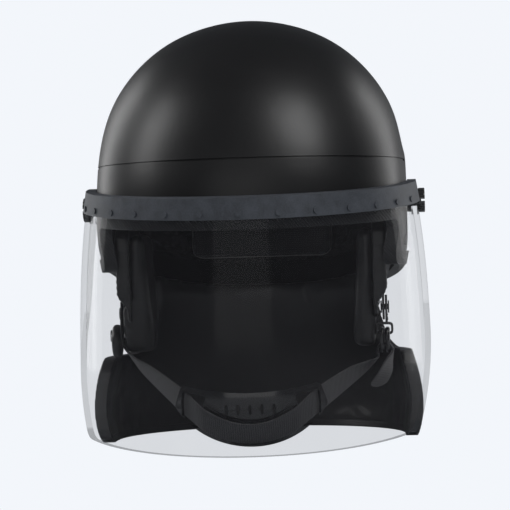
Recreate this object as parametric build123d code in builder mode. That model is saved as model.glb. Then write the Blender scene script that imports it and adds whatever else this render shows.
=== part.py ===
"""Police riot helmet: shell, tilting face shield, padding, chin strap and neck guard.

Millimetres. +Z is up, -Y is the front, +X is the wearer's left.
The origin is the centre of the head opening, level with the wearer's eyes.
"""

import math
import os

from build123d import *

os.makedirs("parts", exist_ok=True)

# Driving dimensions of the shell
shell_half_width = 107.3
shell_radius = 128.5
shell_wall = 4.0
pivot_height = 35.0
brow_front_height = 19.0
brow_side_height = 24.5
side_rim_height = -6.5
flap_front_y = -58.0
side_rim_rear_y = 18.0
nape_height = -30.0
inner_corner_radius = 10.0
flap_corner_radius = 10.0
nape_bend_radius = 90.0
groove_height = 62.5
groove_width = 1.4
groove_depth = 0.8
groove_rear_y = -20.0
overrun = 40.0

# Half profile of the shell from the crown to the pivot: how far out, and how far from the pivot axis
profile_out_shares = (0.33, 0.5135, 0.7549, 0.8891, 0.9478, 0.9804)
profile_radius_shares = (0.9564, 0.8903, 0.7268, 0.5626, 0.4319, 0.3012)

# Clearances
soft_gap = 0.3
face_gap = 0.05
running_clearance = 0.06

# Edge trim
trim_lip = 2.6
trim_depth = 6.4
trim_wall = 1.8

# Face shield
shield_half_width = 121.5
shield_pinch = 12.5
shield_pinch_power_share = 3.5
shield_wall = 4.0
shield_front_y = -147.0
shield_centre_y = -18.0
shield_loft_top = 64.0
shield_loft_bottom = -134.0
shield_sections = 9
shield_top_front = 34.7
shield_top_slope_share = 0.095
shield_bottom_front = -128.0
shield_bottom_slope_share = 0.115
shield_ear_rear_y = 13.0
shield_waist_y = 1.0
shield_waist_height = -25.0
shield_corner_y = -70.0
shield_ear_radius = 13.0
shield_waist_radius = 60.0
shield_corner_radius = 18.0

# Seal along the shield's upper edge
seal_height = 14.0
seal_crown = 2.0
seal_wall = 1.7
seal_inner_wall = 2.2
seal_lip_thickness = 2.4
seal_end_y = -14.0
seal_end_radius = 4.0
seal_clearance = 0.45
rivet_pitch = 24.8
rivet_diameter = 2.4
rivet_head_diameter = 4.0
rivet_head_height = 0.7
rivet_drop = 10.3
rivets_each_way = 6

# Pivot hardware
shell_to_shield_gap = 3.0
stud_diameter = 8.0
stud_flange_diameter = 20.0
stud_flange_thickness = 1.8
stud_bore = 5.0
pole_relief = 0.2
land_diameter = 20.0
spacer_diameter = 16.0
washer_diameter = 15.0
washer_thickness = 0.8
knob_diameter = 17.0
knob_thickness = 4.6
knob_slot_width = 1.7
knob_slot_depth = 2.6
knob_edge_radius = 0.7
knob_shank_length = 11.0
knob_grips = 18
knob_grip_diameter = 1.2

# Impact liner and comfort pads
liner_thickness = 15.0
liner_front_height = 35.0
liner_side_height = 24.0
liner_rear_height = -5.0
liner_brow_y = -48.0
liner_side_y = 30.0
liner_joint = 0.5
liner_joint_x = 32.0
liner_joint_y = 5.0
pad_thickness = 9.0
crown_pad_diameter = 96.0
brow_pad_low = 38.0
brow_pad_high = 72.0
brow_pad_half_width = 60.0
nape_pad_low = -2.0
nape_pad_high = 38.0
nape_pad_half_width = 52.0
side_pad_low = 36.0
side_pad_high = 80.0
side_pad_front_y = -38.0
side_pad_rear_y = 42.0

# Ear flaps and cheek pads
flap_outer_x = 85.5
flap_thickness = 3.0
flap_top = 20.0
flap_top_front_y = -55.0
flap_top_rear_y = 16.0
flap_mid_front_y = -51.0
flap_mid_height = -20.0
flap_low_front_y = -45.0
flap_low_rear_y = -6.0
flap_low = -43.0
flap_corner = 9.0
piping_diameter = 3.0
cheek_low_front_y = -39.0
cheek_low_rear_y = -16.0
cheek_low = -68.0
cheek_inner_x = 69.0
cheek_inset = 3.5
cheek_crown_radius = 5.5
cheek_back_radius = 1.5

# Harness straps inside the shell
webbing_width = 17.0
webbing_thickness = 1.6
harness_top_height = 14.0
harness_rivet_height = 8.0
rivet_y = 28.0
strap_gap = 1.0
harness_rim_height = -1.0
harness_free_height = -12.0
harness_rear_end_y = -18.0
harness_rear_end_height = -23.0
near_rim_share = 0.3
below_rim_share = 0.5
harness_rivet_diameter = 4.0
harness_head_diameter = 8.0
harness_head_height = 0.9

# Anchors of the chin strap, below each ear: a rivet along X through stacked layers
anchor_x = 89.0
anchor_y = -28.0
anchor_height = -38.0
anchor_rivet_diameter = 4.0
anchor_head_diameter = 8.5
anchor_head_height = 0.9

# Round tab and its snap at the wearer's right
tab_diameter = 23.5
tab_thickness = 6.0
tab_drop = 19.0
tab_edge_radius = 2.6
snap_rise = 4.0
snap_diameter = 8.0
snap_height = 1.5
snap_post_diameter = 3.0

# Double D-rings and the loop that holds them, at the wearer's left
ring_wire = 3.2
ring_inner_width = 20.0
ring_inset = 1.5
ring_inner_height = 11.0
ring_corner_radius = 7.5
ring_pitch = 3.8
loop_drop = 10.5
loop_width = 16.0

# Chin cup: part of a spheroid about an axis along X
cup_axis_y = -62.0
cup_axis_height = -94.0
cup_half_span = 62.0
cup_radius = 37.0
cup_wall = 3.2
cup_corner_x = 46.0
cup_corner_height = -84.5
cup_top_height = -90.4
cup_end_x = 51.0
cup_end_height = -99.0
cup_low_height = -127.5
cup_corner_radius = 4.0
cup_slot_x = 37.5
cup_slot_length = 10.5
cup_slot_width = 24.0
cup_stations = 8
recess_half_width = 34.5
recess_end_height = -91.5
recess_top_height = -95.5
recess_low_height = -109.0
recess_depth = 1.3
vent_pitch = 7.9
vent_width = 2.0
vent_length = 6.8
vent_height = -101.5
vents = 5
dip_middle = 38.0
dip_end = 0.0

# Chin strap: where each free run bends and passes the jaw, from the anchor to the cup
right_bend = (82.0, -36.0, -70.5)
right_jaw = (68.0, -52.0, -80.5)
left_bend = (77.0, -36.5, -77.5)
left_jaw = (64.0, -53.5, -84.5)
tail_knee = (91.5, -31.0, -75.0)
tail_middle = (88.5, -36.5, -83.0)
tail_end = (82.5, -41.5, -92.0)

# Neck guard
guard_top_half_width = 97.5
guard_top_rear_y = 101.5
guard_neck_height = -33.0
guard_knee_half_width = 107.5
guard_knee_rear_y = 111.0
guard_half_width = 108.0
guard_rear_y = 115.0
guard_centre_y = 12.0
guard_thickness = 7.0
guard_top = -6.0
guard_knee = -70.0
guard_low = -128.0
guard_tuck = 5.0
guard_side_y = 56.0
guard_throat_y = 63.0
guard_wing_front_y = -12.0
guard_side_radius = 4.0
guard_throat_radius = 12.0
guard_wing_radius = 14.0
guard_low_radius = 10.0
binding_wall = 0.9
binding_depth = 4.5
binding_top = -38.0
guard_snap_angles = (-54.0, -33.0, -11.0, 11.0, 33.0, 54.0)
guard_snap_diameter = 9.0
guard_snap_height = 1.4
guard_snap_post = 4.0
guard_snap_rise = 3.0
guard_snap_length = 13.0

# Worked out from the above
sides = (("left", 1), ("right", -1))
reach = shell_radius + overrun
land_inner = shell_half_width + shell_to_shield_gap
land_outer = land_inner + shield_wall
washer_inner = land_outer + face_gap
knob_inner = washer_inner + washer_thickness + face_gap
liner_outer_grow = -(shell_wall + soft_gap)
liner_inner_grow = liner_outer_grow - liner_thickness
pad_outer_grow = liner_inner_grow - soft_gap
pad_inner_grow = pad_outer_grow - pad_thickness
pivot_axis = Axis((0, 0, pivot_height), (1, 0, 0))
pivot_plane = Plane(origin=(0, 0, pivot_height), x_dir=(1, 0, 0), z_dir=(0, -1, 0))


def dome_points(grow):
    """Profile points of the dome from one pivot over the crown to the other."""
    width = shell_half_width + grow
    radius = shell_radius + grow
    shares = list(zip(profile_out_shares, profile_radius_shares))
    rising = [(width * out, radius * up) for out, up in shares]
    falling = [(-out, up) for out, up in reversed(rising)]
    return [(-width, 0), *falling, (0, radius), *rising, (width, 0)]


def dome(grow):
    """Solid of the shell's outer shape, turned about the pivot axis, grown by a distance."""
    points = dome_points(grow)
    with BuildPart() as solid:
        with BuildSketch(pivot_plane):
            with BuildLine():
                Spline(*points, tangents=((0, 1), (0, -1)))
                Line(points[0], points[-1])
            make_face()
        revolve(axis=pivot_axis)
    return solid.part


def dome_radius(out, grow=0):
    """Distance from the pivot axis to the dome's surface, at a distance out along X."""
    profile = Spline(*dome_points(grow), tangents=((0, 1), (0, -1)))
    low, high = 0.5, 1.0
    for _ in range(30):
        middle = (low + high) / 2
        if (profile @ middle).X < out:
            low = middle
        else:
            high = middle
    return (profile @ low).Y


def dome_out(distance, grow):
    """How far out along X the dome's surface lies, at a distance from the pivot axis."""
    profile = Spline(*dome_points(grow), tangents=((0, 1), (0, -1)))
    low, high = 0.5, 1.0
    for _ in range(30):
        middle = (low + high) / 2
        if (profile @ middle).Y > distance:
            low = middle
        else:
            high = middle
    return (profile @ low).X


def dome_plane(sign, y, height, grow=0):
    """Plane on the dome's surface at one side, facing outwards."""
    distance = math.hypot(y, height - pivot_height)
    slope = (dome_out(distance + trim_wall, grow) - dome_out(distance - trim_wall, grow)) / (2 * trim_wall)
    outward = Vector(sign, -slope * y / distance, -slope * (height - pivot_height) / distance)
    origin = Vector(sign * dome_out(distance, grow), y, height)
    return Plane(origin=origin, x_dir=(0, 0, 1), z_dir=outward.normalized())


def side_prism(points, radii, grow=0):
    """Bar across the helmet whose section, seen from the side, is the outline, grown by a distance."""
    with BuildPart() as bar:
        with BuildSketch(Plane.YZ):
            with BuildLine():
                FilletPolyline(*points, radius=radii, close=True)
            make_face()
            if grow:
                offset(amount=grow)
        extrude(amount=reach, both=True)
    return bar.part


def plan_loft(levels, rear):
    """Solid through plan sections: each is half an ellipse with straight sides."""
    with BuildPart() as block:
        for height, half_width, centre_y, tip_y in levels:
            start = 180 if tip_y < centre_y else 0
            with BuildSketch(Plane.XY.offset(height)):
                with BuildLine():
                    tip = abs(tip_y - centre_y)
                    EllipticalCenterArc((0, centre_y), half_width, tip, start_angle=start, arc_size=180)
                    Polyline(
                        (-half_width, centre_y),
                        (-half_width, rear),
                        (half_width, rear),
                        (half_width, centre_y),
                    )
                make_face()
        loft()
    return block.part


def brow_line(y):
    """Height of the shell's brow edge at a distance back."""
    slope = (brow_side_height - brow_front_height) / (flap_front_y + shell_radius)
    return brow_front_height + slope * (y + shell_radius)


nape_y = math.sqrt(shell_radius**2 - (pivot_height - nape_height) ** 2)


def nape_line(y):
    """Height of the shell's rear edge at a distance back."""
    slope = (nape_height - side_rim_height) / (nape_y - side_rim_rear_y)
    return side_rim_height + slope * (y - side_rim_rear_y)


rim_points = (
    (-reach, brow_line(-reach)),
    (flap_front_y, brow_side_height),
    (flap_front_y, side_rim_height),
    (side_rim_rear_y, side_rim_height),
    (reach, nape_line(reach)),
    (reach, 2 * reach),
    (-reach, 2 * reach),
)
rim_radii = (0, inner_corner_radius, flap_corner_radius, nape_bend_radius, 0, 0, 0)


def shield_half_width_at(height, outset):
    """Half width of the shield's outer face: it is drawn in towards the pivots by a smooth power law."""
    rise = (height - shield_loft_bottom) / (shield_loft_top - shield_loft_bottom)
    return shield_half_width - shield_pinch * rise**shield_pinch_power_share + outset


def shield_block(outset, rear):
    """Solid filled by the shield's outer face, grown by a distance."""
    step = (shield_loft_top - shield_loft_bottom) / (shield_sections - 1)
    heights = [shield_loft_bottom + step * count for count in range(shield_sections)]
    levels = [
        (height, shield_half_width_at(height, outset), shield_centre_y, shield_front_y - outset)
        for height in heights
    ]
    return plan_loft(levels, rear)


def shield_top(y):
    """Height of the shield's upper edge at a distance back."""
    return shield_top_front + shield_top_slope_share * (y - shield_front_y)


def shield_bottom(y):
    """Height of the shield's lower edge at a distance back."""
    return shield_bottom_front + shield_bottom_slope_share * (y - shield_front_y)


# Shell
outer_dome = dome(0)
inner_dome = dome(-shell_wall)
groove_floor = dome(-groove_depth)
rim_bar = side_prism(rim_points, rim_radii)

with BuildPart() as groove_cut:
    with BuildSketch(Plane.XY.offset(groove_height - groove_width / 2)):
        with Locations((0, groove_rear_y)):
            Rectangle(2 * reach, reach, align=(Align.CENTER, Align.MAX))
    extrude(amount=groove_width)
    add(groove_floor, mode=Mode.SUBTRACT)

rivet_planes = [
    dome_plane(sign, end * rivet_y, harness_rivet_height)
    for _, sign in sides
    for end in (-1, 1)
]


def guard_snap_plane(angle, flush=False):
    """Plane on the trim's outer face at a neck guard snap. It is level, or flush with the trim."""
    out = shell_half_width * math.sin(math.radians(angle))
    rim_y = nape_y * math.cos(math.radians(angle))
    height = nape_line(rim_y) + guard_snap_rise
    drop = pivot_height - height
    distance = dome_radius(abs(out), trim_wall)
    origin = Vector(out, math.sqrt(distance**2 - drop**2), height)
    across = Vector(math.sin(math.radians(angle)), math.cos(math.radians(angle)), 0)
    if flush:
        slope = dome_radius(abs(out) - trim_wall, trim_wall) - dome_radius(abs(out) + trim_wall, trim_wall)
        across = Vector(math.copysign(slope, out) / (2 * trim_wall), origin.Y / distance, -drop / distance)
    return Plane(origin=origin, x_dir=(0, 0, 1), z_dir=across)


snap_planes = [guard_snap_plane(angle) for angle in guard_snap_angles]
snap_seats = [guard_snap_plane(angle, flush=True) for angle in guard_snap_angles]

with BuildPart() as shell:
    add(outer_dome)
    add(inner_dome, mode=Mode.SUBTRACT)
    add(rim_bar, mode=Mode.INTERSECT)
    add(groove_cut.part, mode=Mode.SUBTRACT)
    with BuildSketch(Plane.YZ):
        with Locations((0, pivot_height)):
            Circle(stud_diameter / 2 + face_gap)
    extrude(amount=reach, both=True, mode=Mode.SUBTRACT)
    for plane in rivet_planes:
        with BuildSketch(plane):
            Circle(harness_rivet_diameter / 2 + face_gap)
        extrude(amount=3 * shell_wall, both=True, mode=Mode.SUBTRACT)
    for plane in snap_planes:
        with BuildSketch(plane.offset(guard_snap_height)):
            Circle(guard_snap_post / 2 + face_gap)
        extrude(amount=-guard_snap_length - guard_snap_height, mode=Mode.SUBTRACT)
shell.part.label = "shell"
export_step(shell.part, "parts/shell.step")

# Edge trim: a rubber channel pressed over the shell's rim
trim_outer = dome(trim_wall)
trim_inner = dome(-shell_wall - trim_wall)
trim_reach_bar = side_prism(rim_points, rim_radii, trim_lip)
trim_top_bar = side_prism(rim_points, rim_radii, -trim_depth)

with BuildPart() as trim_channel:
    add(dome(face_gap))
    add(dome(-shell_wall - face_gap), mode=Mode.SUBTRACT)
    add(side_prism(rim_points, rim_radii, face_gap), mode=Mode.INTERSECT)

with BuildPart() as trim_strip:
    add(trim_reach_bar)
    add(trim_top_bar, mode=Mode.SUBTRACT)

with BuildPart() as rim_trim:
    add(trim_outer)
    add(trim_inner, mode=Mode.SUBTRACT)
    add(trim_strip.part, mode=Mode.INTERSECT)
    add(trim_channel.part, mode=Mode.SUBTRACT)
    for plane in snap_planes:
        with BuildSketch(plane.offset(guard_snap_height)):
            Circle(guard_snap_post / 2 + face_gap)
        extrude(amount=-guard_snap_length - guard_snap_height, mode=Mode.SUBTRACT)
rim_trim.part.label = "rim_trim"
export_step(rim_trim.part, "parts/rim_trim.step")

# Pivot hardware, one set on each side
for side, sign in sides:
    centre = Plane(origin=(0, 0, pivot_height), x_dir=(0, 1, 0), z_dir=(sign, 0, 0))
    flange_face = shell_half_width - shell_wall - pole_relief

    with BuildPart() as pivot_stud:
        with BuildSketch(centre.offset(flange_face - stud_flange_thickness)):
            Circle(stud_flange_diameter / 2)
        extrude(amount=stud_flange_thickness)
        with BuildSketch(centre.offset(flange_face)):
            Circle(stud_diameter / 2)
        extrude(amount=land_outer - pole_relief - flange_face)
        with BuildSketch(centre):
            Circle(stud_bore / 2)
        extrude(amount=reach, mode=Mode.SUBTRACT)
    pivot_stud.part.label = f"pivot_stud_{side}"
    export_step(pivot_stud.part, f"parts/pivot_stud_{side}.step")

    with BuildPart() as pivot_spacer:
        with BuildSketch(centre.offset(shell_half_width + face_gap)):
            Circle(spacer_diameter / 2)
            Circle(stud_diameter / 2 + running_clearance, mode=Mode.SUBTRACT)
        extrude(amount=shell_to_shield_gap - 2 * face_gap)
    pivot_spacer.part.label = f"pivot_spacer_{side}"
    export_step(pivot_spacer.part, f"parts/pivot_spacer_{side}.step")

    with BuildPart() as pivot_washer:
        with BuildSketch(centre.offset(washer_inner)):
            Circle(washer_diameter / 2)
            Circle(stud_bore / 2 + face_gap, mode=Mode.SUBTRACT)
        extrude(amount=washer_thickness)
    pivot_washer.part.label = f"pivot_washer_{side}"
    export_step(pivot_washer.part, f"parts/pivot_washer_{side}.step")

    with BuildPart() as pivot_knob:
        with BuildSketch(centre.offset(knob_inner)):
            Circle(knob_diameter / 2)
        extrude(amount=knob_thickness)
        rims = pivot_knob.edges().filter_by(GeomType.CIRCLE)
        fillet(rims, radius=knob_edge_radius)
        with BuildSketch(centre.offset(knob_inner)):
            with PolarLocations(knob_diameter / 2, knob_grips):
                Circle(knob_grip_diameter / 2)
        extrude(amount=knob_thickness, mode=Mode.SUBTRACT)
        with BuildSketch(centre.offset(knob_inner + knob_thickness - knob_slot_depth)):
            Rectangle(knob_diameter + 2 * knob_slot_width, knob_slot_width)
        extrude(amount=knob_thickness, mode=Mode.SUBTRACT)
        with BuildSketch(centre.offset(knob_inner - knob_shank_length)):
            Circle(stud_bore / 2 - running_clearance)
        extrude(amount=knob_shank_length)
    pivot_knob.part.label = f"pivot_knob_{side}"
    export_step(pivot_knob.part, f"parts/pivot_knob_{side}.step")

# Face shield
shield_outer = shield_block(0, overrun)
shield_inner = shield_block(-shield_wall, 2 * overrun)
shield_points = (
    (-reach, shield_top(-reach)),
    (shield_ear_rear_y, shield_top(shield_ear_rear_y)),
    (shield_waist_y, shield_waist_height),
    (shield_corner_y, shield_bottom(shield_corner_y)),
    (-reach, shield_bottom(-reach)),
)
shield_radii = (0, shield_ear_radius, shield_waist_radius, shield_corner_radius, 0)
shield_bar = side_prism(shield_points, shield_radii)


def seal_rivet_plane(count):
    """Plane on the seal's outer face at a rivet, facing outwards and level."""
    depth = shield_centre_y - shield_front_y
    target = abs(count) * rivet_pitch
    travelled = 0.0
    turn = 0.0
    steps = 400
    for _ in range(steps):
        if travelled >= target:
            break
        y = shield_centre_y - depth * math.cos(turn)
        half_width = shield_half_width_at(shield_top(y), seal_wall)
        small = math.pi / 2 / steps
        travelled += small * math.hypot(half_width * math.cos(turn), depth * math.sin(turn))
        turn += small
    y = shield_centre_y - (depth + seal_wall) * math.cos(turn)
    height = shield_top(y) + seal_crown - rivet_drop
    half_width = shield_half_width_at(height, seal_wall)
    way = 1 if count > 0 else -1
    normal = Vector(way * math.sin(turn) / half_width, -math.cos(turn) / depth, 0).normalized()
    return Plane(origin=(way * half_width * math.sin(turn), y, height), x_dir=(0, 0, 1), z_dir=normal)


seal_rivet_planes = [seal_rivet_plane(count) for count in range(-rivets_each_way, rivets_each_way + 1)]
seal_stack = seal_wall + shield_wall + seal_inner_wall + 2 * face_gap

with BuildPart() as face_shield:
    add(shield_outer)
    add(shield_inner, mode=Mode.SUBTRACT)
    add(shield_bar, mode=Mode.INTERSECT)
    for side, sign in sides:
        centre = Plane(origin=(0, 0, pivot_height), x_dir=(0, 1, 0), z_dir=(sign, 0, 0))
        with BuildSketch(centre.offset(land_inner - shield_wall)):
            Circle(land_diameter / 2)
        extrude(amount=3 * shield_wall, mode=Mode.SUBTRACT)
        with BuildSketch(centre.offset(land_inner)):
            Circle(land_diameter / 2)
        extrude(amount=shield_wall)
        with BuildSketch(centre.offset(land_inner - shield_wall)):
            Circle(stud_diameter / 2 + running_clearance)
        extrude(amount=3 * shield_wall, mode=Mode.SUBTRACT)
    for plane in seal_rivet_planes:
        with BuildSketch(plane):
            Circle(rivet_diameter / 2 + face_gap)
        extrude(amount=2 * seal_stack, both=True, mode=Mode.SUBTRACT)
face_shield.part.label = "face_shield"
export_step(face_shield.part, "parts/face_shield.step")

# Seal: a rubber channel over the shield's upper edge, with a lip that reaches towards the shell
seal_points = (
    (-reach, shield_top(-reach) + seal_crown),
    (seal_end_y, shield_top(seal_end_y) + seal_crown),
    (seal_end_y, shield_top(seal_end_y) + seal_crown - seal_height),
    (-reach, shield_top(-reach) + seal_crown - seal_height),
)
seal_bar = side_prism(seal_points, (0, 0, seal_end_radius, 0))
channel_points = (
    (-reach, shield_top(-reach) + face_gap),
    (reach, shield_top(reach) + face_gap),
    (reach, -reach),
    (-reach, -reach),
)
channel_bar = side_prism(channel_points, 0)
below_lip_points = (
    (-reach, shield_top(-reach) + seal_crown - seal_lip_thickness),
    (reach, shield_top(reach) + seal_crown - seal_lip_thickness),
    (reach, -reach),
    (-reach, -reach),
)
below_lip_bar = side_prism(below_lip_points, 0)

with BuildPart() as seal_channel:
    add(shield_block(face_gap, overrun))
    add(shield_block(-shield_wall - face_gap, 2 * overrun), mode=Mode.SUBTRACT)
    add(channel_bar, mode=Mode.INTERSECT)

with BuildPart() as seal_hollow:
    add(shield_block(-shield_wall - face_gap - seal_inner_wall, 2 * overrun))
    add(below_lip_bar, mode=Mode.INTERSECT)

with BuildPart() as visor_seal:
    add(shield_block(seal_wall + face_gap, overrun))
    add(seal_bar, mode=Mode.INTERSECT)
    add(seal_channel.part, mode=Mode.SUBTRACT)
    add(seal_hollow.part, mode=Mode.SUBTRACT)
    add(dome(seal_clearance), mode=Mode.SUBTRACT)
    for plane in seal_rivet_planes:
        with BuildSketch(plane):
            Circle(rivet_diameter / 2 + face_gap)
        extrude(amount=2 * seal_stack, both=True, mode=Mode.SUBTRACT)
visor_seal.part.label = "visor_seal"
export_step(visor_seal.part, "parts/visor_seal.step")

with BuildPart() as seal_rivets:
    for plane in seal_rivet_planes:
        with BuildSketch(plane.offset(soft_gap)):
            Circle(rivet_head_diameter / 2)
        extrude(amount=rivet_head_height)
        with BuildSketch(plane.offset(-seal_stack - soft_gap - rivet_head_height)):
            Circle(rivet_head_diameter / 2)
        extrude(amount=rivet_head_height)
        with BuildSketch(plane.offset(-seal_stack - soft_gap)):
            Circle(rivet_diameter / 2)
        extrude(amount=seal_stack + 2 * soft_gap)
seal_rivets.part.label = "seal_rivets"
export_step(seal_rivets.part, "parts/seal_rivets.step")

# Impact liner
liner_points = (
    (-reach, liner_front_height),
    (liner_brow_y, liner_front_height),
    (-liner_side_y, liner_side_height),
    (liner_side_y, liner_side_height),
    (nape_y, liner_rear_height),
    (reach, liner_rear_height),
    (reach, reach),
    (-reach, reach),
)

# The liner is moulded in six blocks, with thin joints between them
with BuildPart() as impact_liner:
    add(dome(liner_outer_grow))
    add(dome(liner_inner_grow), mode=Mode.SUBTRACT)
    add(side_prism(liner_points, 0), mode=Mode.INTERSECT)
    for side, sign in sides:
        with BuildSketch(Plane(origin=(0, 0, pivot_height), x_dir=(0, 1, 0), z_dir=(sign, 0, 0))):
            Circle(stud_flange_diameter / 2 + soft_gap)
        extrude(amount=reach, mode=Mode.SUBTRACT)
    with Locations((liner_joint_x, 0, 0), (-liner_joint_x, 0, 0)):
        Box(liner_joint, 2 * reach, 2 * reach, mode=Mode.SUBTRACT)
    with Locations((0, liner_joint_y, 0)):
        Box(2 * reach, liner_joint, 2 * reach, mode=Mode.SUBTRACT)
impact_liner.part.label = "impact_liner"
export_step(impact_liner.part, "parts/impact_liner.step")

# Comfort pads, each a curved slab against the liner
with BuildPart() as pad_layer:
    add(dome(pad_outer_grow))
    add(dome(pad_inner_grow), mode=Mode.SUBTRACT)

with BuildPart() as crown_pad:
    with BuildSketch(Plane.XY.offset(pivot_height)):
        Circle(crown_pad_diameter / 2)
    extrude(amount=reach)
    add(pad_layer.part, mode=Mode.INTERSECT)
crown_pad.part.label = "crown_pad"
export_step(crown_pad.part, "parts/crown_pad.step")

with BuildPart() as brow_pad:
    with BuildSketch(Plane.XZ):
        with Locations((0, (brow_pad_low + brow_pad_high) / 2)):
            RectangleRounded(2 * brow_pad_half_width, brow_pad_high - brow_pad_low, pad_thickness)
    extrude(amount=reach)
    add(pad_layer.part, mode=Mode.INTERSECT)
brow_pad.part.label = "brow_pad"
export_step(brow_pad.part, "parts/brow_pad.step")

with BuildPart() as nape_pad:
    with BuildSketch(Plane.XZ):
        with Locations((0, (nape_pad_low + nape_pad_high) / 2)):
            RectangleRounded(2 * nape_pad_half_width, nape_pad_high - nape_pad_low, pad_thickness)
    extrude(amount=-reach)
    add(pad_layer.part, mode=Mode.INTERSECT)
nape_pad.part.label = "nape_pad"
export_step(nape_pad.part, "parts/nape_pad.step")

for side, sign in sides:
    with BuildPart() as side_pad:
        with BuildSketch(Plane.YZ):
            with Locations(((side_pad_front_y + side_pad_rear_y) / 2, (side_pad_low + side_pad_high) / 2)):
                RectangleRounded(
                    side_pad_rear_y - side_pad_front_y, side_pad_high - side_pad_low, pad_thickness
                )
        extrude(amount=sign * reach)
        add(pad_layer.part, mode=Mode.INTERSECT)
    side_pad.part.label = f"side_pad_{side}"
    export_step(side_pad.part, f"parts/side_pad_{side}.step")

# Ear flaps with a piped edge, and the cheek pads sewn to their inner faces
flap_points = (
    (flap_top_front_y, flap_top),
    (flap_mid_front_y, flap_mid_height),
    (flap_low_front_y, flap_low),
    (flap_low_rear_y, flap_low),
    (flap_top_rear_y, flap_mid_height),
    (flap_top_rear_y, flap_top),
)
cheek_points = (
    (flap_top_front_y, flap_top),
    (flap_mid_front_y, flap_mid_height),
    (cheek_low_front_y, cheek_low),
    (cheek_low_rear_y, cheek_low),
    (flap_top_rear_y, flap_mid_height),
    (flap_top_rear_y, flap_top),
)

for side, sign in sides:
    flap_middle = Plane.YZ.offset(sign * (flap_outer_x - piping_diameter / 2))

    with BuildPart() as ear_flap:
        with BuildSketch(Plane.YZ.offset(sign * flap_outer_x)):
            with BuildLine():
                FilletPolyline(*flap_points, radius=flap_corner, close=True)
            make_face()
        extrude(amount=-sign * flap_thickness)
        with BuildLine(flap_middle) as piping_path:
            FilletPolyline(*flap_points, radius=flap_corner, close=True)
        with BuildSketch(Plane(origin=piping_path.line @ 0, z_dir=piping_path.line % 0)):
            Circle(piping_diameter / 2)
        sweep()
    ear_flap.part.label = f"ear_flap_{side}"
    export_step(ear_flap.part, f"parts/ear_flap_{side}.step")

    cheek_outer_x = flap_outer_x - flap_thickness - soft_gap
    with BuildPart() as cheek_pad:
        with BuildSketch(Plane.YZ.offset(sign * cheek_outer_x)):
            with BuildLine():
                FilletPolyline(*cheek_points, radius=flap_corner, close=True)
            make_face()
            offset(amount=-cheek_inset)
        extrude(amount=-sign * (cheek_outer_x - cheek_inner_x))
        crown_face = cheek_pad.faces().sort_by(Axis.X)[0 if sign > 0 else -1]
        back_face = cheek_pad.faces().sort_by(Axis.X)[-1 if sign > 0 else 0]
        crown_edges = crown_face.edges()
        back_edges = back_face.edges()
        fillet(crown_edges, radius=cheek_crown_radius)
        fillet(back_edges, radius=cheek_back_radius)
    cheek_pad.part.label = f"cheek_pad_{side}"
    export_step(cheek_pad.part, f"parts/cheek_pad_{side}.step")


def ribbon(points, across):
    """Flat webbing through the points, its width along the given directions."""
    with BuildPart() as strip:
        for count, point in enumerate(points):
            before = points[max(count - 1, 0)]
            after = points[min(count + 1, len(points) - 1)]
            width = across[count].normalized()
            forward = (after - before) - width * (after - before).dot(width)
            with BuildSketch(Plane(origin=point, x_dir=width, z_dir=forward)):
                Rectangle(webbing_width, webbing_thickness)
        loft(ruled=True)
    return strip.part


# Harness straps: a front and a rear run on each side, from the shell down to the anchor
strap_seat = strap_gap + webbing_thickness / 2


rear_lean = math.atan2(rivet_y - harness_rear_end_y, harness_rivet_height - harness_rear_end_height)


def rear_path(share):
    """Distance back and height of the rear strap's middle, at a share of its run from the rivet."""
    y = rivet_y + share * (harness_rear_end_y - rivet_y)
    return y, harness_rivet_height + share * (harness_rear_end_height - harness_rivet_height)


def harness_point(sign, y, height, grow):
    """Middle of a strap that lies against the dome's inner face."""
    distance = math.hypot(abs(y) + webbing_width / 2, pivot_height - height)
    return Vector(sign * (dome_out(distance, grow) - strap_seat), y, height)


def harness_start(sign, end, lean):
    """Both ends of a strap's flat stretch at its rivet, and the direction of its width there."""
    seat = dome_plane(sign, end * rivet_y, harness_rivet_height).offset(-shell_wall - strap_seat)
    along = seat.x_dir * math.cos(lean) - seat.y_dir * sign * math.sin(lean)
    width = seat.y_dir * -sign * math.cos(lean) - seat.x_dir * math.sin(lean)
    top = seat.origin + along * (harness_top_height - harness_rivet_height)
    low = seat.origin - along * (harness_head_diameter / 2 + soft_gap)
    return [top, low], [width, width]


along_y = Vector(0, 1, 0)
moving_layer_x = anchor_x + webbing_thickness + soft_gap
inner_layer_x = anchor_x - webbing_thickness - soft_gap

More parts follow.
